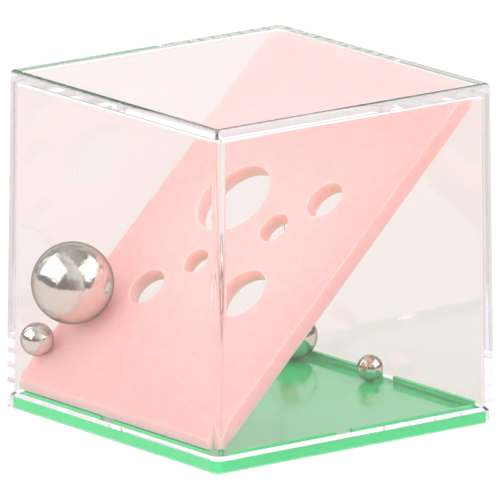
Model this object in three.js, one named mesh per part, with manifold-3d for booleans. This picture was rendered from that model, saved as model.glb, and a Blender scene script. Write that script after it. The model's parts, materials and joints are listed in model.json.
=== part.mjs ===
// A small clear cube puzzle: four steel balls roll on and under a slanted plate with round holes,
// shut in between a clear cover and a green base plate.
//
// Millimetres, +Z up. The origin is on the ground at the middle of the cube. The slanted plate is
// low on the -X side and high on the +X side, and its holes are placed by their distance up the
// slope and along Y.

import * as THREE from "three";
import { mergeVertices } from "three/addons/utils/BufferGeometryUtils.js";
import Module from "manifold-3d";

const wasm = await Module();
wasm.setup();

// Clear cover
const COVER_WIDTH = 40;
const COVER_HEIGHT = 39.4;
const WALL_LEAN = 0.0117; // each wall leans in by this much per millimetre of height
const WALL_THICKNESS = 0.95;
const TOP_THICKNESS = 1.4;
const OUTER_EDGE_RADIUS = 0.5; // of the edges around the top
const OUTER_CORNER_RADIUS = 0.6; // of the upright edges
const INNER_EDGE_RADIUS = 0.45;
const INNER_CORNER_RADIUS = 0.55;
const LIP_THICKNESS = 0.5; // what is left of the wall around the base plate
const SHOULDER_HEIGHT = 0.46; // the wall slopes out to its full thickness over this, above the floor
const COVER_HALF = COVER_WIDTH / 2;
const CEILING_Z = COVER_HEIGHT - TOP_THICKNESS;

// Base plate and its locating ribs
const FLOOR_Z = 1.3;
const BASE_GAP = 0.05; // between the base plate's edge and the cover's lip
const BASE_CORNER_RADIUS = 1;
const BASE_EDGE_RADIUS = 0.15;
const RIB_HEIGHT = 0.8;
const RIB_THICKNESS = 0.65;
const RIB_TO_WALL = 0.15;
const RIB_REACH = 17.3; // how far each rib runs towards the corner
const RIB_GAP_MIDDLE = -1.4;
const RIB_GAP_WIDTH = 2.2;
const RIB_EDGE_RADIUS = 0.12;
const RIB_END_ROUNDNESS = 0.9; // of a half circle
const RIB_OUTER_FACE = COVER_HALF - WALL_THICKNESS - RIB_TO_WALL;

// Slanted plate, trimmed upright at both ends, level where it stands on the ribs, and level under
// the ceiling
const SLOPE = 0.968; // rise over run
const SLOPE_ANGLE = Math.atan(SLOPE);
const PLATE_TOP_AT_MIDDLE = 21.65; // height of its upper face at X = 0
const PLATE_LOW_X = -18.85;
const PLATE_HIGH_X = 18.45;
const PLATE_FOOT_GAP = 0.15; // above the ribs, and the same below the ceiling
const PLATE_SIDE_GAP = 1; // beside each wall
const PLATE_SHIFT = 0.3; // towards +Y
const PLATE_THICKNESS = 1.9;
const PLATE_CORNER_RADIUS = 0.7;
const HOLES = [
  { upSlope: 3.2, y: 5.9, diameter: 9.1 },
  { upSlope: 6.1, y: -7.7, diameter: 4.75 },
  { upSlope: 0.95, y: -3.1, diameter: 3.8 },
  { upSlope: -5.6, y: 4.1, diameter: 3.3 },
  { upSlope: -10.5, y: 8.8, diameter: 4.75 },
  { upSlope: -8.0, y: -5.5, diameter: 6.4 },
];

// Balls
const LARGE_DIAMETER = 9.5;
const SMALL_DIAMETER = 3.85;
const MEDIUM_DIAMETER = 5.5;
const TINY_DIAMETER = 3;
const BALL_GAP = 0.05; // between a ball and what it rests on
const MEDIUM_Y = 13.2;
const TINY_Y = -0.2;

// Fineness of the facets
const CORNER_STEPS = 4;
const FILLET_STEPS = 4;
const SMALL_EDGE_STEPS = 2;
const HOLE_STEPS = 20;
const BALL_DETAIL = 5;

const quarterTurn = Math.PI / 2;

// Half the width of the cover's outside, and of its inside, at height z.
function outerHalf(z) {
  return COVER_HALF - WALL_LEAN * z;
}

function innerHalf(z) {
  return outerHalf(z) - WALL_THICKNESS;
}

// Evenly spaced fractions of a quarter circle, both ends included.
function quarterSteps(steps) {
  return Array.from({ length: steps + 1 }, (_, step) => (step / steps) * quarterTurn);
}

// The points of a rectangle with round corners, anticlockwise, centred on (middleX, 0).
function roundedRectangle(halfX, halfY, radius, middleX = 0) {
  const corners = [[1, 1], [-1, 1], [-1, -1], [1, -1]];
  return corners.flatMap(([sideX, sideY], corner) =>
    quarterSteps(CORNER_STEPS).map((angle) => new THREE.Vector2(
      middleX + sideX * (halfX - radius) + radius * Math.cos(angle + corner * quarterTurn),
      sideY * (halfY - radius) + radius * Math.sin(angle + corner * quarterTurn),
    )));
}

// A closed body with square rings in place of a lathe's circles. The rings run from the axis at
// the top, down the outside, and back to the axis.
function squareTurned(rings) {
  const loops = rings.map(({ half, z, radius }) =>
    roundedRectangle(half, half, radius).map((point) => [point.x, point.y, z]));
  const count = loops[0].length;
  const positions = [[0, 0, rings[0].z], ...loops.flat(), [0, 0, rings.at(-1).z]];
  const first = 0;
  const last = positions.length - 1;
  const vertex = (loop, side) => 1 + loop * count + (side % count);
  const index = [];
  for (let side = 0; side < count; side++) {
    index.push(first, vertex(0, side), vertex(0, side + 1));
    for (let loop = 0; loop + 1 < loops.length; loop++) {
      index.push(vertex(loop, side), vertex(loop + 1, side), vertex(loop + 1, side + 1));
      index.push(vertex(loop, side), vertex(loop + 1, side + 1), vertex(loop, side + 1));
    }
    index.push(vertex(loops.length - 1, side), last, vertex(loops.length - 1, side + 1));
  }
  const geometry = new THREE.BufferGeometry();
  geometry.setAttribute("position", new THREE.Float32BufferAttribute(positions.flat(), 3));
  geometry.setIndex(index);
  return geometry;
}

// The same geometry with one vertex wherever faces meet.
function welded(geometry) {
  geometry.deleteAttribute("normal");
  geometry.deleteAttribute("uv");
  return mergeVertices(geometry);
}

function toSolid(geometry) {
  const shape = welded(geometry);
  return new wasm.Manifold(new wasm.Mesh({
    numProp: 3,
    vertProperties: new Float32Array(shape.attributes.position.array),
    triVerts: new Uint32Array(shape.index.array),
  }));
}

function toGeometry(solid) {
  const mesh = solid.getMesh();
  const geometry = new THREE.BufferGeometry();
  geometry.setAttribute("position", new THREE.BufferAttribute(mesh.vertProperties, 3));
  geometry.setIndex(new THREE.BufferAttribute(mesh.triVerts, 1));
  return geometry;
}

// A flat outline with height, whose upper and lower edges are rounded.
function slab(outline, height, edgeRadius) {
  return new THREE.ExtrudeGeometry(outline, {
    depth: height - 2 * edgeRadius,
    bevelThickness: edgeRadius,
    bevelSize: edgeRadius,
    bevelOffset: -edgeRadius,
    bevelSegments: SMALL_EDGE_STEPS,
  }).translate(0, 0, edgeRadius);
}

function clearCoverGeometry() {
  const topEdge = quarterSteps(FILLET_STEPS).map((angle) => {
    const z = COVER_HEIGHT - OUTER_EDGE_RADIUS * (1 - Math.cos(angle));
    const inset = OUTER_EDGE_RADIUS * (1 - Math.sin(angle));
    return { half: outerHalf(z) - inset, z, radius: OUTER_CORNER_RADIUS - inset };
  });
  const rim = [
    { half: COVER_HALF, z: 0, radius: OUTER_CORNER_RADIUS },
    { half: COVER_HALF - LIP_THICKNESS, z: 0, radius: BASE_CORNER_RADIUS },
  ];
  const shoulderTop = FLOOR_Z + SHOULDER_HEIGHT;
  const shoulder = [
    { half: outerHalf(FLOOR_Z) - LIP_THICKNESS, z: FLOOR_Z, radius: BASE_CORNER_RADIUS },
    { half: innerHalf(shoulderTop), z: shoulderTop, radius: BASE_CORNER_RADIUS },
  ];
  const ceilingFillet = quarterSteps(FILLET_STEPS).map((angle) => {
    const z = CEILING_Z - INNER_EDGE_RADIUS * (1 - Math.sin(angle));
    const inset = INNER_EDGE_RADIUS * (1 - Math.cos(angle));
    return { half: innerHalf(z) - inset, z, radius: INNER_CORNER_RADIUS - inset };
  });
  return squareTurned([...topEdge, ...rim, ...shoulder, ...ceilingFillet]);
}

// One locating rib along the +X side of the base plate, from one Y to another.
function ribSolid(fromY, toY) {
  const halfThickness = RIB_THICKNESS / 2;
  const halfLength = (toY - fromY) / 2;
  const outline = new THREE.Shape(
    roundedRectangle(halfThickness, halfLength, RIB_END_ROUNDNESS * halfThickness));
  const sunk = FLOOR_Z / 2;
  const rib = slab(outline, RIB_HEIGHT + sunk, RIB_EDGE_RADIUS);
  rib.translate(RIB_OUTER_FACE - halfThickness, (fromY + toY) / 2, FLOOR_Z - sunk);
  return toSolid(rib);
}

function basePlateGeometry() {
  const half = COVER_HALF - LIP_THICKNESS - BASE_GAP - WALL_LEAN * FLOOR_Z;
  const upperEdge = quarterSteps(SMALL_EDGE_STEPS).map((angle) => {
    const inset = BASE_EDGE_RADIUS * (1 - Math.sin(angle));
    const z = FLOOR_Z - BASE_EDGE_RADIUS * (1 - Math.cos(angle));
    return { half: half - inset, z, radius: BASE_CORNER_RADIUS - inset };
  });
  const underside = { half, z: 0, radius: BASE_CORNER_RADIUS };
  let plate = toSolid(squareTurned([...upperEdge, underside]));
  for (let side = 0; side < 4; side++) {
    const degrees = side * 90;
    const before = ribSolid(-RIB_REACH, RIB_GAP_MIDDLE - RIB_GAP_WIDTH / 2);
    const after = ribSolid(RIB_GAP_MIDDLE + RIB_GAP_WIDTH / 2, RIB_REACH);
    plate = plate.add(before.rotate([0, 0, degrees])).add(after.rotate([0, 0, degrees]));
  }
  return toGeometry(plate);
}

// The space that the slanted plate fills, seen from above: its sides run beside the leaning walls,
// so the plate is a little wider at its low end.
function plateTrim() {
  const halfLength = (PLATE_HIGH_X - PLATE_LOW_X) / 2;
  const middle = (PLATE_HIGH_X + PLATE_LOW_X) / 2;
  const halfWidth = innerHalf(PLATE_TOP_AT_MIDDLE) - PLATE_SIDE_GAP;
  const points = roundedRectangle(halfLength, halfWidth, PLATE_CORNER_RADIUS, middle);
  for (const point of points) {
    point.y = PLATE_SHIFT + point.y * (1 - WALL_LEAN * SLOPE * point.x / halfWidth);
  }
  const foot = FLOOR_Z + RIB_HEIGHT + PLATE_FOOT_GAP;
  const head = CEILING_Z - PLATE_FOOT_GAP;
  const trim = new THREE.ExtrudeGeometry(new THREE.Shape(points), { depth: head - foot, bevelEnabled: false });
  return toSolid(trim.translate(0, 0, foot));
}

// The slanted plate, cut from a drilled sheet that reaches well past the cover on every side.
function holePlateGeometry() {
  const reach = 2 * COVER_WIDTH;
  const outline = new THREE.Shape(roundedRectangle(reach, reach, PLATE_CORNER_RADIUS));
  for (const { upSlope, y, diameter } of HOLES) {
    outline.holes.push(new THREE.Path().absarc(upSlope, y, diameter / 2, 0, 2 * Math.PI));
  }
  const sheet = new THREE.ExtrudeGeometry(outline, {
    depth: PLATE_THICKNESS,
    curveSegments: HOLE_STEPS,
    bevelEnabled: false,
  });
  sheet.translate(0, 0, -PLATE_THICKNESS).rotateY(-SLOPE_ANGLE).translate(0, 0, PLATE_TOP_AT_MIDDLE);
  return toGeometry(toSolid(sheet).intersect(plateTrim()));
}

// Where a ball's centre lies when the ball rests against a wall, at height z.
function besideWall(radius, z) {
  return innerHalf(z) - radius - BALL_GAP;
}

// A ball in the low corner above the plate, against two walls and the plate's upper face.
function cornerPlace(radius) {
  const aboveFace = (radius + BALL_GAP) / Math.cos(SLOPE_ANGLE);
  const faceAtWall = PLATE_TOP_AT_MIDDLE - SLOPE * besideWall(radius, 0);
  const z = (faceAtWall + aboveFace) / (1 - SLOPE * WALL_LEAN);
  return [-besideWall(radius, z), besideWall(radius, z), z];
}

// A ball on the base plate's floor, against the +X wall or the rib in front of it, whichever it
// meets first.
function floorPlace(radius, y) {
  const z = FLOOR_Z + radius + BALL_GAP;
  const overRib = z - FLOOR_Z - RIB_HEIGHT;
  const ribInnerFace = RIB_OUTER_FACE - RIB_THICKNESS;
  const besideRib = ribInnerFace - Math.sqrt((radius + BALL_GAP) ** 2 - overRib ** 2);
  return [Math.min(besideWall(radius, z), besideRib), y, z];
}

const clearPlastic = new THREE.MeshStandardMaterial(
  { color: 0xf6f2f4, roughness: 0.05, metalness: 0, transparent: true, opacity: 0.3 });
const greenPlastic = new THREE.MeshStandardMaterial({ color: 0x2fc878, roughness: 0.12, metalness: 0 });
const pinkPlastic = new THREE.MeshStandardMaterial({ color: 0xf9b8b4, roughness: 0.35, metalness: 0 });
const polishedSteel = new THREE.MeshStandardMaterial({ color: 0xc9c9c6, roughness: 0.05, metalness: 1 });

function named(name, geometry, material) {
  const mesh = new THREE.Mesh(geometry, material);
  mesh.name = name;
  return mesh;
}

function ball(name, diameter, place) {
  const sphere = new THREE.IcosahedronGeometry(diameter / 2, BALL_DETAIL);
  const mesh = named(name, welded(sphere), polishedSteel.clone());
  mesh.position.set(...place);
  return mesh;
}

const puzzle = new THREE.Group();
puzzle.add(
  named("clear_cover", clearCoverGeometry(), clearPlastic),
  named("base_plate", basePlateGeometry(), greenPlastic),
  named("hole_plate", holePlateGeometry(), pinkPlastic),
  ball("ball_large", LARGE_DIAMETER, cornerPlace(LARGE_DIAMETER / 2)),
  ball("ball_small", SMALL_DIAMETER, cornerPlace(SMALL_DIAMETER / 2)),
  ball("ball_medium", MEDIUM_DIAMETER, floorPlace(MEDIUM_DIAMETER / 2, MEDIUM_Y)),
  ball("ball_tiny", TINY_DIAMETER, floorPlace(TINY_DIAMETER / 2, TINY_Y)),
);

export default puzzle;
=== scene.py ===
"""Looks of the clear cube ball puzzle: a clear cover, a glossy green base plate with low ribs, a satin
pink plate with round holes across the inside, and four polished steel balls.

Metres, +Z up. The slanted plate is low on the -X side. Sizes that the frame can give come from it, and
the rest are the mouldings' own wall thicknesses, radii and hole places.
"""

import json
import math

import bmesh
import bpy
from mathutils import Matrix, Vector


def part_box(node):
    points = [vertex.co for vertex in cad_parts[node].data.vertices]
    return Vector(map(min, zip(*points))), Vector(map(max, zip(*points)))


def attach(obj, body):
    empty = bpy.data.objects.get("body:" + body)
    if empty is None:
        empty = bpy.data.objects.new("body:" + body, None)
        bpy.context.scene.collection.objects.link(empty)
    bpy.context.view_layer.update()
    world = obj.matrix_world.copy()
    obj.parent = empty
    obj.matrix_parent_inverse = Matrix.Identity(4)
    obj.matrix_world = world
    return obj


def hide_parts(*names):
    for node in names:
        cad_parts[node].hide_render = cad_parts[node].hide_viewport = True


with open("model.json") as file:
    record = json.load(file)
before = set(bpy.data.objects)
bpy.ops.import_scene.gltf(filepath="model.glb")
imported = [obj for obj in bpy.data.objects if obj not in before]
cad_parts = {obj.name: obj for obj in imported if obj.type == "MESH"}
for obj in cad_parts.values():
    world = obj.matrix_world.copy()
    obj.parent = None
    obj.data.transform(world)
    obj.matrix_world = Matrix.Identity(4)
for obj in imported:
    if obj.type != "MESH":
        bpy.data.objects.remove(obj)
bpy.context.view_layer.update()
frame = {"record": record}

MM = 0.001
QUARTER_TURN = math.pi / 2

# Cover
COVER_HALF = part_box("clear_cover")[1].x
COVER_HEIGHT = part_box("clear_cover")[1].z
WALL_LEAN = 0.0117  # each wall leans in by this much per metre of height
WALL_THICKNESS = 0.95 * MM
TOP_THICKNESS = 1.4 * MM
OUTER_EDGE_RADIUS = 0.5 * MM
OUTER_CORNER_RADIUS = 0.6 * MM
INNER_EDGE_RADIUS = 0.45 * MM
INNER_CORNER_RADIUS = 0.55 * MM
LIP_THICKNESS = 0.5 * MM
SHOULDER_HEIGHT = 0.46 * MM  # of the slope between the lip and the full wall
COVER_EDGE_STEPS = 8

# Base plate
BASE_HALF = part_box("base_plate")[1].x
FLOOR_Z = 1.3 * MM
BASE_CORNER_RADIUS = 1.0 * MM
BASE_EDGE_RADIUS = 0.15 * MM
BASE_EDGE_STEPS = 4
RIB_TOP_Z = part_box("base_plate")[1].z
RIB_THICKNESS = 0.65 * MM
RIB_END_ROUNDNESS = 0.95  # of half the rib's thickness
RIB_OUTER_FACE = COVER_HALF - WALL_THICKNESS - 0.15 * MM
RIB_REACH = 17.3 * MM
RIB_GAP_MIDDLE = -1.4 * MM
RIB_GAP_WIDTH = 2.2 * MM
RIB_EDGE_RADIUS = 0.12 * MM
RIB_EDGE_STEPS = 3

# Slanted plate
SLOPE_ANGLE = math.atan(0.968)
PLATE_TOP_AT_MIDDLE = 21.65 * MM
PLATE_LOW_CORNER, PLATE_HIGH_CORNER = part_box("hole_plate")
PLATE_SIDE_GAP = 1.0 * MM
PLATE_THICKNESS = 1.9 * MM
PLATE_CORNER_RADIUS = 0.7 * MM
PLATE_EDGE_RADIUS = 0.45 * MM
PLATE_EDGE_STEPS = 4
HOLE_STEPS = 96
HOLES = [  # up the slope, along Y, diameter
    (3.2 * MM, 5.9 * MM, 9.1 * MM),
    (6.1 * MM, -7.7 * MM, 4.75 * MM),
    (0.95 * MM, -3.1 * MM, 3.8 * MM),
    (-5.6 * MM, 4.1 * MM, 3.3 * MM),
    (-10.5 * MM, 8.8 * MM, 4.75 * MM),
    (-8.0 * MM, -5.5 * MM, 6.4 * MM),
]

# Balls
BALL_CUTS = 31  # across each side of the cube that a ball is made from

# All meshes
CORNER_STEPS = 8
SHARP_ANGLE = math.radians(35)  # faces that meet at more than this aren't shaded as one
FLAT_ANGLE = math.radians(1)  # faces that meet at less than this are joined
ROUNDED_ANGLE = math.radians(40)  # the slanted plate's edges above this are rounded
SAME_HEIGHT = 1e-9

# Material colours
CLEAR_DEPTH_COLOUR = (0.30, 0.28, 0.48)  # what thick clear plastic turns light into
CLEAR_DEPTH_DENSITY = 3.5
GREEN_COLOURS = (0.02, 0.76, 0.23), (0.03, 0.84, 0.29)
PINK_COLOURS = (0.97, 0.525, 0.51), (0.99, 0.625, 0.62)
PINK_SCATTER_RADIUS = (1.0, 0.4, 0.32)
PINK_SCATTER_DEPTH = 3.0 * MM
STEEL_COLOURS = (0.72, 0.695, 0.63), (0.79, 0.765, 0.71)
STEEL_RIM_TINT = (0.30, 0.28, 0.24)
NOISE_MIDDLE = 0.3, 0.7  # nearly all of a noise texture lies in here

# Studio floor
FLOOR_REACH = 3.0
FLOOR_DROP = 0.01 * MM  # below the object's underside, so that the two faces don't mix
FLOOR_TINT = (0.87, 0.825, 0.805)
FLOOR_GLOW = 0.95
FLOOR_WHITE_GLOW = 1.08  # of the floor as the camera sees it directly
FLOOR_ROUGHNESS = 0.8
FLOOR_SHADOW = 0.25  # how far a shadow shows where the camera sees the floor directly
FLOOR_SHADOW_THROUGH = 0.1  # and through the plastic or in a mirror
TABLE_LIGHT = 1.9  # how strongly the floor lights matt surfaces
TABLE_REACH = 0.10  # what mirrors see of the table ends this far in front
TABLE_EDGE_BLUR = 0.03

# Studio light. Each pair is where a soft step starts and ends.
WHITE = (1, 1, 1)
LIGHT_BRIGHT = (2.9, 2.35, 2.33)
LIGHT_DIM = (1.85, 1.45, 1.42)
LIGHT_TURN = -60  # from the camera's azimuth
LIGHT_ELEVATION = 50
LIGHT_SPREAD = -0.2, 1.0
PIPED_COLOUR = (1.26, 1.23, 1.26)  # what light that has come through or along the walls starts as
ROOM_DARK = (0.05, 0.046, 0.03)
ROOM_PALE = (0.34, 0.325, 0.28)
ROOM_PATCHES = {"scale": 3.5, "low": 0.47, "high": 0.53}
ROOM_SPECKLE = (0.55, 0.53, 0.46)
ROOM_SPECKLES = {"scale": 20.0, "low": 0.5, "high": 0.6}
HORIZON_COLOUR = (0.05, 0.042, 0.03)
HORIZON_SPECKLE = (0.15, 0.13, 0.10)
HORIZON_SPECKLES = {"scale": 24.0, "low": 0.5, "high": 0.6}
HORIZON_HEIGHT = 0.36, 0.28
SWEEP_HEIGHT = 0.62, 0.5
SWEEP_BEHIND = -0.72, -0.85
CLUTTER_DETAIL = 4.0
SOFTBOX_BLUR = 0.04
SOFTBOX_FACING = 0.0, 0.1
SOFTBOXES = [  # turned from the camera's azimuth, elevation, half width, half height, colour
    (-75, 39, 0.62, 0.40, (1.8, 1.8, 1.8)),
    (75, 39, 0.55, 0.38, (1.8, 1.8, 1.8)),
    (0, 42, 0.28, 0.34, (0.62, 0.60, 0.57)),
]

# Camera
CAMERA_AZIMUTH = math.radians(-37.557)
CAMERA_ELEVATION = math.radians(13.566)
CAMERA_DISTANCE = 1.4889
CAMERA_TARGET = Vector((0.000026, -0.000021, 0.019106))
CAMERA_LENS = 943.4
CAMERA_SENSOR = 36
CAMERA_CLIP_END = 100

# Rendering
LIGHT_BOUNCES = 64  # with far fewer, light piped along the walls ends in black lines


# ---- Mesh helpers ----

def quarter_angles(steps):
    return [step / steps * QUARTER_TURN for step in range(steps + 1)]


def rounded_rectangle(half_x, half_y, radius, middle_x=0.0):
    """The points of a rectangle with round corners, anticlockwise."""
    points = []
    for corner, (side_x, side_y) in enumerate(((1, 1), (-1, 1), (-1, -1), (1, -1))):
        for angle in quarter_angles(CORNER_STEPS):
            turned = angle + corner * QUARTER_TURN
            points.append((
                middle_x + side_x * (half_x - radius) + radius * math.cos(turned),
                side_y * (half_y - radius) + radius * math.sin(turned),
            ))
    return points


def object_from(name, tool, material):
    """A new object from a bmesh, smooth where its faces nearly line up and sharp elsewhere."""
    mesh = bpy.data.meshes.new(name)
    bmesh.ops.recalc_face_normals(tool, faces=tool.faces)
    tool.to_mesh(mesh)
    tool.free()
    mesh.polygons.foreach_set("use_smooth", [True] * len(mesh.polygons))
    mesh.set_sharp_from_angle(angle=SHARP_ANGLE)
    mesh.materials.append(material)
    piece = bpy.data.objects.new(name, mesh)
    bpy.context.scene.collection.objects.link(piece)
    weighted = piece.modifiers.new("flat_faces_stay_flat", "WEIGHTED_NORMAL")
    weighted.mode = "FACE_AREA"
    weighted.weight = 100
    weighted.keep_sharp = True
    return piece


def square_turned(rings):
    """A closed body with square rings where a lathe has circles. Each ring is (half, z, radius),
    and they run from the axis at the top, down the outside, and back to the axis."""
    tool = bmesh.new()
    loops = []
    for half, z, radius in rings:
        loops.append([tool.verts.new((x, y, z)) for x, y in rounded_rectangle(half, half, radius)])
    count = len(loops[0])
    for above, below in zip(loops, loops[1:]):
        for side in range(count):
            after = (side + 1) % count
            tool.faces.new((above[side], below[side], below[after], above[after]))
    tool.faces.new(loops[0])
    tool.faces.new(reversed(loops[-1]))
    return tool


def slab(outline, z_low, z_high, edge_radius, edge_steps):
    """A flat outline with height, its upper edge rounded."""
    tool = bmesh.new()
    lower = [tool.verts.new((x, y, z_low)) for x, y in outline]
    bottom = tool.faces.new(reversed(lower))
    top = bmesh.ops.extrude_face_region(tool, geom=[bottom])
    raised = [item for item in top["geom"] if isinstance(item, bmesh.types.BMVert)]
    for vertex in raised:
        vertex.co.z = z_high
    bmesh.ops.recalc_face_normals(tool, faces=tool.faces)
    rim = [edge for edge in tool.edges if all(vertex.co.z > z_high - SAME_HEIGHT for vertex in edge.verts)]
    round_off(tool, rim, edge_radius, edge_steps)
    return tool


def round_off(tool, edges, radius, steps, stop_at_overlap=False):
    bmesh.ops.bevel(
        tool, geom=edges, offset=radius, segments=steps, profile=0.5, affect="EDGES",
        clamp_overlap=stop_at_overlap)


def join_flat_faces(tool):
    bmesh.ops.dissolve_limit(tool, angle_limit=FLAT_ANGLE, verts=tool.verts, edges=tool.edges)


def combine(piece, other, operation):
    """Adds the other object's solid to the piece or cuts it away, and removes the other object."""
    boolean = piece.modifiers.new("combined", "BOOLEAN")
    boolean.operation = operation
    boolean.solver = "EXACT"
    boolean.object = other
    with bpy.context.temp_override(object=piece):
        bpy.ops.object.modifier_move_to_index(modifier=boolean.name, index=0)
        bpy.ops.object.modifier_apply(modifier=boolean.name)
    bpy.data.objects.remove(other)


# ---- Material helpers ----

def new_material(name):
    material = bpy.data.materials.new(name)
    material.use_nodes = True
    return material, material.node_tree, material.node_tree.nodes["Principled BSDF"]


def noise(tree, scale, detail=3.0, over="Object"):
    """A noise texture over the object, or over the world's directions with over="Generated"."""
    place = tree.nodes.new("ShaderNodeTexCoord")
    texture = tree.nodes.new("ShaderNodeTexNoise")
    texture.inputs["Scale"].default_value = scale
    texture.inputs["Detail"].default_value = detail
    tree.links.new(place.outputs[over], texture.inputs["Vector"])
    return texture.outputs["Fac"]


def rough(tree, surface, value, low, high):
    """Lets the roughness follow a noise from low to high."""
    spread = tree.nodes.new("ShaderNodeMapRange")
    spread.inputs["From Min"].default_value, spread.inputs["From Max"].default_value = NOISE_MIDDLE
    spread.inputs["To Min"].default_value = low
    spread.inputs["To Max"].default_value = high
    tree.links.new(value, spread.inputs["Value"])
    tree.links.new(spread.outputs["Result"], surface.inputs["Roughness"])


def bumpy(tree, surface, value, height):
    ridge = tree.nodes.new("ShaderNodeBump")
    ridge.inputs["Distance"].default_value = height
    tree.links.new(value, ridge.inputs["Height"])
    tree.links.new(ridge.outputs["Normal"], surface.inputs["Normal"])


def tinted(tree, surface, value, colours):
    """Lets the base colour follow a noise from the first colour to the second."""
    low_colour, high_colour = colours
    blend = tree.nodes.new("ShaderNodeMix")
    blend.data_type = "RGBA"
    blend.inputs["A"].default_value = (*low_colour, 1)
    blend.inputs["B"].default_value = (*high_colour, 1)
    tree.links.new(value, blend.inputs["Factor"])
    tree.links.new(blend.outputs["Result"], surface.inputs["Base Color"])


# ---- Materials ----

def clear_plastic():
    """Polystyrene, with faint waves from the mould and a tint that shows only along its edges."""
    material, tree, surface = new_material("clear_plastic")
    surface.inputs["Base Color"].default_value = (*WHITE, 1)
    surface.inputs["IOR"].default_value = 1.59
    surface.inputs["Transmission Weight"].default_value = 1.0
    rough(tree, surface, noise(tree, scale=250), low=0.0, high=0.015)
    bumpy(tree, surface, noise(tree, scale=120, detail=1.0), height=0.006 * MM)
    depth = tree.nodes.new("ShaderNodeVolumeAbsorption")
    depth.inputs["Color"].default_value = (*CLEAR_DEPTH_COLOUR, 1)
    depth.inputs["Density"].default_value = CLEAR_DEPTH_DENSITY
    tree.links.new(depth.outputs["Volume"], tree.nodes["Material Output"].inputs["Volume"])
    return material


def green_plastic():
    """Glossy, with blurred reflections."""
    material, tree, surface = new_material("green_plastic")
    surface.inputs["IOR"].default_value = 1.5
    surface.inputs["Coat Weight"].default_value = 0.4
    surface.inputs["Coat Roughness"].default_value = 0.09
    tinted(tree, surface, noise(tree, scale=90), GREEN_COLOURS)
    rough(tree, surface, noise(tree, scale=400), low=0.10, high=0.16)
    bumpy(tree, surface, noise(tree, scale=200, detail=2.0), height=0.01 * MM)
    return material


def pink_plastic():
    """Satin and finely mottled, and light goes some way into it."""
    material, tree, surface = new_material("pink_plastic")
    surface.inputs["IOR"].default_value = 1.5
    surface.inputs["Specular IOR Level"].default_value = 0.4
    surface.inputs["Subsurface Weight"].default_value = 1.0
    surface.inputs["Subsurface Radius"].default_value = PINK_SCATTER_RADIUS
    surface.inputs["Subsurface Scale"].default_value = PINK_SCATTER_DEPTH
    tinted(tree, surface, noise(tree, scale=1100, detail=5.0), PINK_COLOURS)
    rough(tree, surface, noise(tree, scale=500), low=0.3, high=0.42)
    bumpy(tree, surface, noise(tree, scale=900, detail=4.0), height=0.06 * MM)
    return material


def ball_steel():
    """Polished, with the faint grain of ground balls."""
    material, tree, surface = new_material("ball_steel")
    surface.inputs["Metallic"].default_value = 1.0
    surface.inputs["Specular Tint"].default_value = (*STEEL_RIM_TINT, 1)
    tinted(tree, surface, noise(tree, scale=700), STEEL_COLOURS)
    rough(tree, surface, noise(tree, scale=1500), low=0.0, high=0.02)
    bumpy(tree, surface, noise(tree, scale=2600), height=0.03 * MM)
    return material


# ---- Pieces ----

def outer_half(z):
    return COVER_HALF - WALL_LEAN * z


def inner_half(z):
    return outer_half(z) - WALL_THICKNESS


def cover_rings():
    """The cover's rings from the middle of its top, down the outside, and up the inside."""
    rings = []
    for angle in quarter_angles(COVER_EDGE_STEPS):
        z = COVER_HEIGHT - OUTER_EDGE_RADIUS * (1 - math.cos(angle))
        inset = OUTER_EDGE_RADIUS * (1 - math.sin(angle))
        rings.append((outer_half(z) - inset, z, OUTER_CORNER_RADIUS - inset))
    rings.append((COVER_HALF, 0, OUTER_CORNER_RADIUS))
    rings.append((COVER_HALF - LIP_THICKNESS, 0, BASE_CORNER_RADIUS))
    rings.append((outer_half(FLOOR_Z) - LIP_THICKNESS, FLOOR_Z, BASE_CORNER_RADIUS))
    shoulder_top = FLOOR_Z + SHOULDER_HEIGHT
    rings.append((inner_half(shoulder_top), shoulder_top, BASE_CORNER_RADIUS))
    ceiling = COVER_HEIGHT - TOP_THICKNESS
    for angle in quarter_angles(COVER_EDGE_STEPS):
        z = ceiling - INNER_EDGE_RADIUS * (1 - math.sin(angle))
        inset = INNER_EDGE_RADIUS * (1 - math.cos(angle))
        rings.append((inner_half(z) - inset, z, INNER_CORNER_RADIUS - inset))
    return rings


def make_cover(material):
    return object_from("cover_shell", square_turned(cover_rings()), material)


def rib(side, low, high):
    """One locating rib, on the side of the base plate that side quarter turns take +X to."""
    half_thickness = RIB_THICKNESS / 2
    half_length = (high - low) / 2
    outline = rounded_rectangle(half_thickness, half_length, RIB_END_ROUNDNESS * half_thickness)
    tool = slab(outline, FLOOR_Z / 2, RIB_TOP_Z, RIB_EDGE_RADIUS, RIB_EDGE_STEPS)
    middle = Vector((RIB_OUTER_FACE - half_thickness, (low + high) / 2, 0))
    tool.transform(Matrix.Rotation(side * QUARTER_TURN, 4, "Z") @ Matrix.Translation(middle))
    return tool


def make_base(material):
    """The base plate, with two ribs along each side and a gap between them."""
    rings = []
    for angle in quarter_angles(BASE_EDGE_STEPS):
        inset = BASE_EDGE_RADIUS * (1 - math.sin(angle))
        z = FLOOR_Z - BASE_EDGE_RADIUS * (1 - math.cos(angle))
        rings.append((BASE_HALF - inset, z, BASE_CORNER_RADIUS - inset))
    rings.append((BASE_HALF, 0, BASE_CORNER_RADIUS))
    plate = object_from("floor_plate", square_turned(rings), material)
    ends = (
        (-RIB_REACH, RIB_GAP_MIDDLE - RIB_GAP_WIDTH / 2),
        (RIB_GAP_MIDDLE + RIB_GAP_WIDTH / 2, RIB_REACH),
    )
    for side in range(4):
        for low, high in ends:
            combine(plate, object_from("rib", rib(side, low, high), material), "UNION")
    return plate


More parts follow.
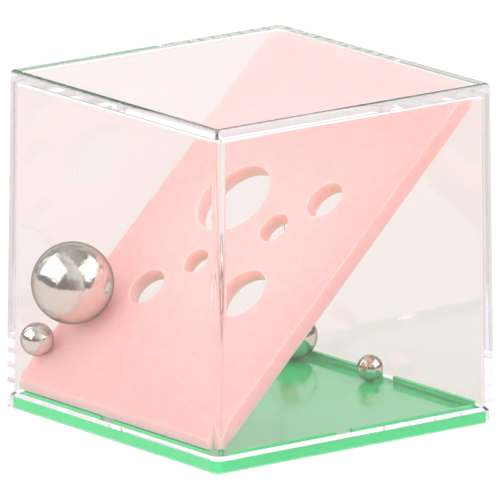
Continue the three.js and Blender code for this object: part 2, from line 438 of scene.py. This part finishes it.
def plate_outline():
    """The slanted plate from above, its sides beside the leaning walls. It has points where the upper
    face meets the trim under the ceiling, and where the lower face meets the trim at the foot."""
    low, high = PLATE_LOW_CORNER, PLATE_HIGH_CORNER
    shift = (low.y + high.y) / 2
    half_width = inner_half(PLATE_TOP_AT_MIDDLE) - PLATE_SIDE_GAP
    half_length = (high.x - low.x) / 2
    points = rounded_rectangle(half_length, half_width, PLATE_CORNER_RADIUS, (high.x + low.x) / 2)
    slope = math.tan(SLOPE_ANGLE)
    head_x = (high.z - PLATE_TOP_AT_MIDDLE) / slope
    foot_x = (low.z - PLATE_TOP_AT_MIDDLE + PLATE_THICKNESS / math.cos(SLOPE_ANGLE)) / slope
    points += [(x, side * half_width) for x in (head_x, foot_x) for side in (-1, 1)]
    return [(x, shift + y * (1 - WALL_LEAN * slope * x / half_width)) for x, y in points]


def blank_plate():
    """The slanted plate before its holes: a slanted slab trimmed to its outline."""
    slope = math.tan(SLOPE_ANGLE)
    drop = PLATE_THICKNESS / math.cos(SLOPE_ANGLE)
    tool = bmesh.new()
    for x, y in plate_outline():
        upper = PLATE_TOP_AT_MIDDLE + slope * x
        tool.verts.new((x, y, min(upper, PLATE_HIGH_CORNER.z)))
        tool.verts.new((x, y, max(upper - drop, PLATE_LOW_CORNER.z)))
    bmesh.ops.convex_hull(tool, input=tool.verts)
    join_flat_faces(tool)
    return tool


def drill(up_slope, y, radius):
    """A round cutter through the slanted plate, square to its upper face."""
    tool = bmesh.new()
    bmesh.ops.create_cone(
        tool, cap_ends=True, segments=HOLE_STEPS, radius1=radius, radius2=radius, depth=4 * PLATE_THICKNESS)
    face = Matrix.Translation((0, 0, PLATE_TOP_AT_MIDDLE)) @ Matrix.Rotation(-SLOPE_ANGLE, 4, "Y")
    tool.transform(face @ Matrix.Translation((up_slope, y, 0)))
    return tool


def make_plate(material):
    """The slanted plate, drilled, and then rounded along every edge."""
    blank = object_from("slanted_plate", blank_plate(), material)
    for up_slope, y, diameter in HOLES:
        combine(blank, object_from("drill", drill(up_slope, y, diameter / 2), material), "DIFFERENCE")
    tool = bmesh.new()
    tool.from_mesh(blank.data)
    join_flat_faces(tool)
    sharp = [edge for edge in tool.edges if edge.calc_face_angle() > ROUNDED_ANGLE]
    round_off(tool, sharp, PLATE_EDGE_RADIUS, PLATE_EDGE_STEPS, stop_at_overlap=True)
    bpy.data.objects.remove(blank)
    return object_from("slanted_plate", tool, material)


def make_ball(node, material):
    """A fine ball of even quads: a cube's grid pushed out onto the sphere."""
    low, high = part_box(node)
    centre = (low + high) / 2
    radius = (high.z - low.z) / 2
    tool = bmesh.new()
    bmesh.ops.create_cube(tool, size=2)
    bmesh.ops.subdivide_edges(tool, edges=tool.edges, cuts=BALL_CUTS, use_grid_fill=True)
    for vertex in tool.verts:
        even = Vector([math.tan(part * math.pi / 4) for part in vertex.co])
        vertex.co = centre + even.normalized() * radius
    return object_from("polished_" + node, tool, material)


def fit(piece, body, node):
    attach(piece, body)
    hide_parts(node)


def make_pieces():
    fit(make_cover(clear_plastic()), "case", "clear_cover")
    fit(make_base(green_plastic()), "case", "base_plate")
    fit(make_plate(pink_plastic()), "case", "hole_plate")
    steel = ball_steel()
    for body, nodes in frame["record"]["behaviour"]["bodies"].items():
        if body != "case":
            fit(make_ball(nodes[0], steel), body, nodes[0])


# ---- Studio helpers ----

def towards(azimuth, elevation):
    """A direction from the object. Azimuth 0 is -Y, and it grows towards +X."""
    level = math.cos(elevation)
    return Vector((math.sin(azimuth) * level, -math.cos(azimuth) * level, math.sin(elevation)))


def glowing(tree, colour, strength=1.0):
    glow = tree.nodes.new("ShaderNodeEmission")
    glow.inputs["Color"].default_value = (*colour, 1)
    glow.inputs["Strength"].default_value = strength
    return glow.outputs["Emission"]


def mixed(tree, share, first, second):
    """The first look where the share is 0, and the second where it is 1."""
    mix = tree.nodes.new("ShaderNodeMixShader")
    if isinstance(share, float):
        mix.inputs["Fac"].default_value = share
    else:
        tree.links.new(share, mix.inputs["Fac"])
    tree.links.new(first, mix.inputs[1])
    tree.links.new(second, mix.inputs[2])
    return mix.outputs["Shader"]


def arithmetic(tree, operation, *values):
    result = tree.nodes.new("ShaderNodeMath")
    result.operation = operation
    for socket, value in zip(result.inputs, values):
        if isinstance(value, float):
            socket.default_value = value
        else:
            tree.links.new(value, socket)
    return result.outputs["Value"]


def step_between(tree, value, low, high):
    """0 below low, 1 above high, and a smooth step between. It falls instead where high is below low."""
    step = tree.nodes.new("ShaderNodeMapRange")
    step.interpolation_type = "SMOOTHSTEP"
    step.inputs["From Min"].default_value = min(low, high)
    step.inputs["From Max"].default_value = max(low, high)
    step.inputs["To Min"].default_value = 0.0 if low < high else 1.0
    step.inputs["To Max"].default_value = 1.0 if low < high else 0.0
    tree.links.new(value, step.inputs["Value"])
    return step.outputs["Result"]


def dot(tree, vector, direction):
    product = tree.nodes.new("ShaderNodeVectorMath")
    product.operation = "DOT_PRODUCT"
    tree.links.new(vector, product.inputs[0])
    product.inputs[1].default_value = direction
    return product.outputs["Value"]


def along(tree, direction):
    """How far the world's direction leans towards a fixed one, from -1 to 1."""
    place = tree.nodes.new("ShaderNodeTexCoord")
    return dot(tree, place.outputs["Generated"], direction)


def is_about(tree, depth, count):
    return arithmetic(tree, "COMPARE", depth, count, 0.5)


def lights_a_surface(tree, path):
    """1 on a light path that has left a matt surface, 0 on one that hasn't."""
    return arithmetic(tree, "MINIMUM", path.outputs["Diffuse Depth"], 1.0)


def mirrored_once(tree, path):
    """1 on a light path that has met one mirror, unless that was the inner side of a clear wall."""
    one_mirror = is_about(tree, path.outputs["Glossy Depth"], 1.0)
    in_and_out = is_about(tree, path.outputs["Transmission Depth"], 2.0)
    return arithmetic(tree, "GREATER_THAN", one_mirror, in_and_out)


# ---- Studio ----

def make_floor():
    """A white light table. What the camera sees of it directly is blown out to white, and what it sees
    through the plastic or by reflection has a warm tint. Mirrors see the table end in front."""
    material, tree, surface = new_material("studio_floor")
    surface.inputs["Base Color"].default_value = (*FLOOR_TINT, 1)
    surface.inputs["Roughness"].default_value = FLOOR_ROUGHNESS
    surface.inputs["Specular IOR Level"].default_value = 0.0
    path = tree.nodes.new("ShaderNodeLightPath")
    matt = surface.outputs["BSDF"]
    direct = mixed(tree, FLOOR_SHADOW, glowing(tree, WHITE, FLOOR_WHITE_GLOW), matt)
    table = mixed(tree, FLOOR_SHADOW_THROUGH, glowing(tree, FLOOR_TINT, FLOOR_GLOW), matt)
    place = tree.nodes.new("ShaderNodeTexCoord")
    in_front = dot(tree, place.outputs["Object"], towards(CAMERA_AZIMUTH, 0))
    past_table = step_between(tree, in_front, TABLE_REACH, TABLE_REACH + TABLE_EDGE_BLUR)
    table_ends = arithmetic(tree, "MULTIPLY", past_table, mirrored_once(tree, path))
    table = mixed(tree, table_ends, table, glowing(tree, HORIZON_COLOUR))
    lighting = glowing(tree, FLOOR_TINT, TABLE_LIGHT)
    indirect = mixed(tree, lights_a_surface(tree, path), table, lighting)
    shown = mixed(tree, path.outputs["Is Camera Ray"], indirect, direct)
    tree.links.new(shown, tree.nodes["Material Output"].inputs["Surface"])
    tool = bmesh.new()
    bmesh.ops.create_grid(tool, x_segments=1, y_segments=1, size=FLOOR_REACH)
    floor = object_from("studio_floor", tool, material)
    floor.location.z = -FLOOR_DROP


def patchy(tree, first, second, scale, low, high):
    """The first look with patches of the second, where a noise over the directions steps up."""
    clutter = noise(tree, scale, CLUTTER_DETAIL, over="Generated")
    return mixed(tree, step_between(tree, clutter, low, high), first, second)


def softbox(tree, turn, elevation, half_width, half_height):
    """1 inside a large soft light in the world, 0 outside. It is turned away from the camera's azimuth."""
    azimuth = CAMERA_AZIMUTH + math.radians(turn)
    forward = towards(azimuth, math.radians(elevation))
    sideways = towards(azimuth + QUARTER_TURN, 0)
    upwards = forward.cross(sideways)
    across = arithmetic(tree, "ABSOLUTE", along(tree, sideways))
    over = arithmetic(tree, "ABSOLUTE", along(tree, upwards))
    inside = arithmetic(
        tree, "MULTIPLY",
        step_between(tree, across, half_width, half_width - SOFTBOX_BLUR),
        step_between(tree, over, half_height, half_height - SOFTBOX_BLUR))
    return arithmetic(tree, "MULTIPLY", inside, step_between(tree, along(tree, forward), *SOFTBOX_FACING))


def mirrored_room(tree, path):
    """What the balls mirror: a dim cluttered room with a dark horizon, two softboxes, a pale patch over
    the camera, and a pale sweep behind. The cover's outer faces mirror the sweep all round."""
    height = along(tree, (0, 0, 1))
    room = patchy(tree, glowing(tree, ROOM_DARK), glowing(tree, ROOM_PALE), **ROOM_PATCHES)
    room = patchy(tree, room, glowing(tree, ROOM_SPECKLE), **ROOM_SPECKLES)
    dark, speckle = glowing(tree, HORIZON_COLOUR), glowing(tree, HORIZON_SPECKLE)
    horizon = patchy(tree, dark, speckle, **HORIZON_SPECKLES)
    room = mixed(tree, step_between(tree, height, *HORIZON_HEIGHT), room, horizon)
    for turn, elevation, half_width, half_height, colour in SOFTBOXES:
        inside = softbox(tree, turn, elevation, half_width, half_height)
        room = mixed(tree, inside, room, glowing(tree, colour))
    behind = step_between(tree, along(tree, towards(CAMERA_AZIMUTH, 0)), *SWEEP_BEHIND)
    on_outer_face = arithmetic(tree, "LESS_THAN", path.outputs["Transmission Depth"], 0.5)
    where = arithmetic(tree, "MAXIMUM", behind, on_outer_face)
    sweep = arithmetic(tree, "MULTIPLY", where, step_between(tree, height, *SWEEP_HEIGHT))
    return mixed(tree, sweep, room, glowing(tree, FLOOR_TINT))


def make_world():
    """White to the camera, soft light from one side on matt surfaces, a room in the mirrors, and an
    even pale light through and along the clear walls."""
    world = bpy.data.worlds.new("studio")
    bpy.context.scene.world = world
    world.use_nodes = True
    tree = world.node_tree
    path = tree.nodes.new("ShaderNodeLightPath")
    piped = glowing(tree, PIPED_COLOUR)
    seen = mixed(tree, mirrored_once(tree, path), piped, mirrored_room(tree, path))
    light_azimuth = CAMERA_AZIMUTH + math.radians(LIGHT_TURN)
    key = along(tree, towards(light_azimuth, math.radians(LIGHT_ELEVATION)))
    bright_side = step_between(tree, key, *LIGHT_SPREAD)
    light = mixed(tree, bright_side, glowing(tree, LIGHT_DIM), glowing(tree, LIGHT_BRIGHT))
    indirect = mixed(tree, lights_a_surface(tree, path), seen, light)
    shown = mixed(tree, path.outputs["Is Camera Ray"], indirect, glowing(tree, WHITE))
    tree.links.new(shown, tree.nodes["World Output"].inputs["Surface"])


def make_camera():
    back = towards(CAMERA_AZIMUTH, CAMERA_ELEVATION)
    data = bpy.data.cameras.new("camera")
    data.lens = CAMERA_LENS
    data.sensor_width = CAMERA_SENSOR
    data.clip_end = CAMERA_CLIP_END
    camera = bpy.data.objects.new("camera", data)
    camera.location = CAMERA_TARGET + back * CAMERA_DISTANCE
    camera.rotation_euler = (-back).to_track_quat("-Z", "Y").to_euler()
    bpy.context.scene.collection.objects.link(camera)
    bpy.context.scene.camera = camera


def set_light_paths():
    scene = bpy.context.scene
    scene.view_settings.view_transform = "Standard"
    scene.cycles.max_bounces = LIGHT_BOUNCES
    scene.cycles.transmission_bounces = LIGHT_BOUNCES
    scene.cycles.glossy_bounces = LIGHT_BOUNCES
    scene.cycles.use_denoising = True


make_camera()
make_floor()
make_world()
make_pieces()
set_light_paths()
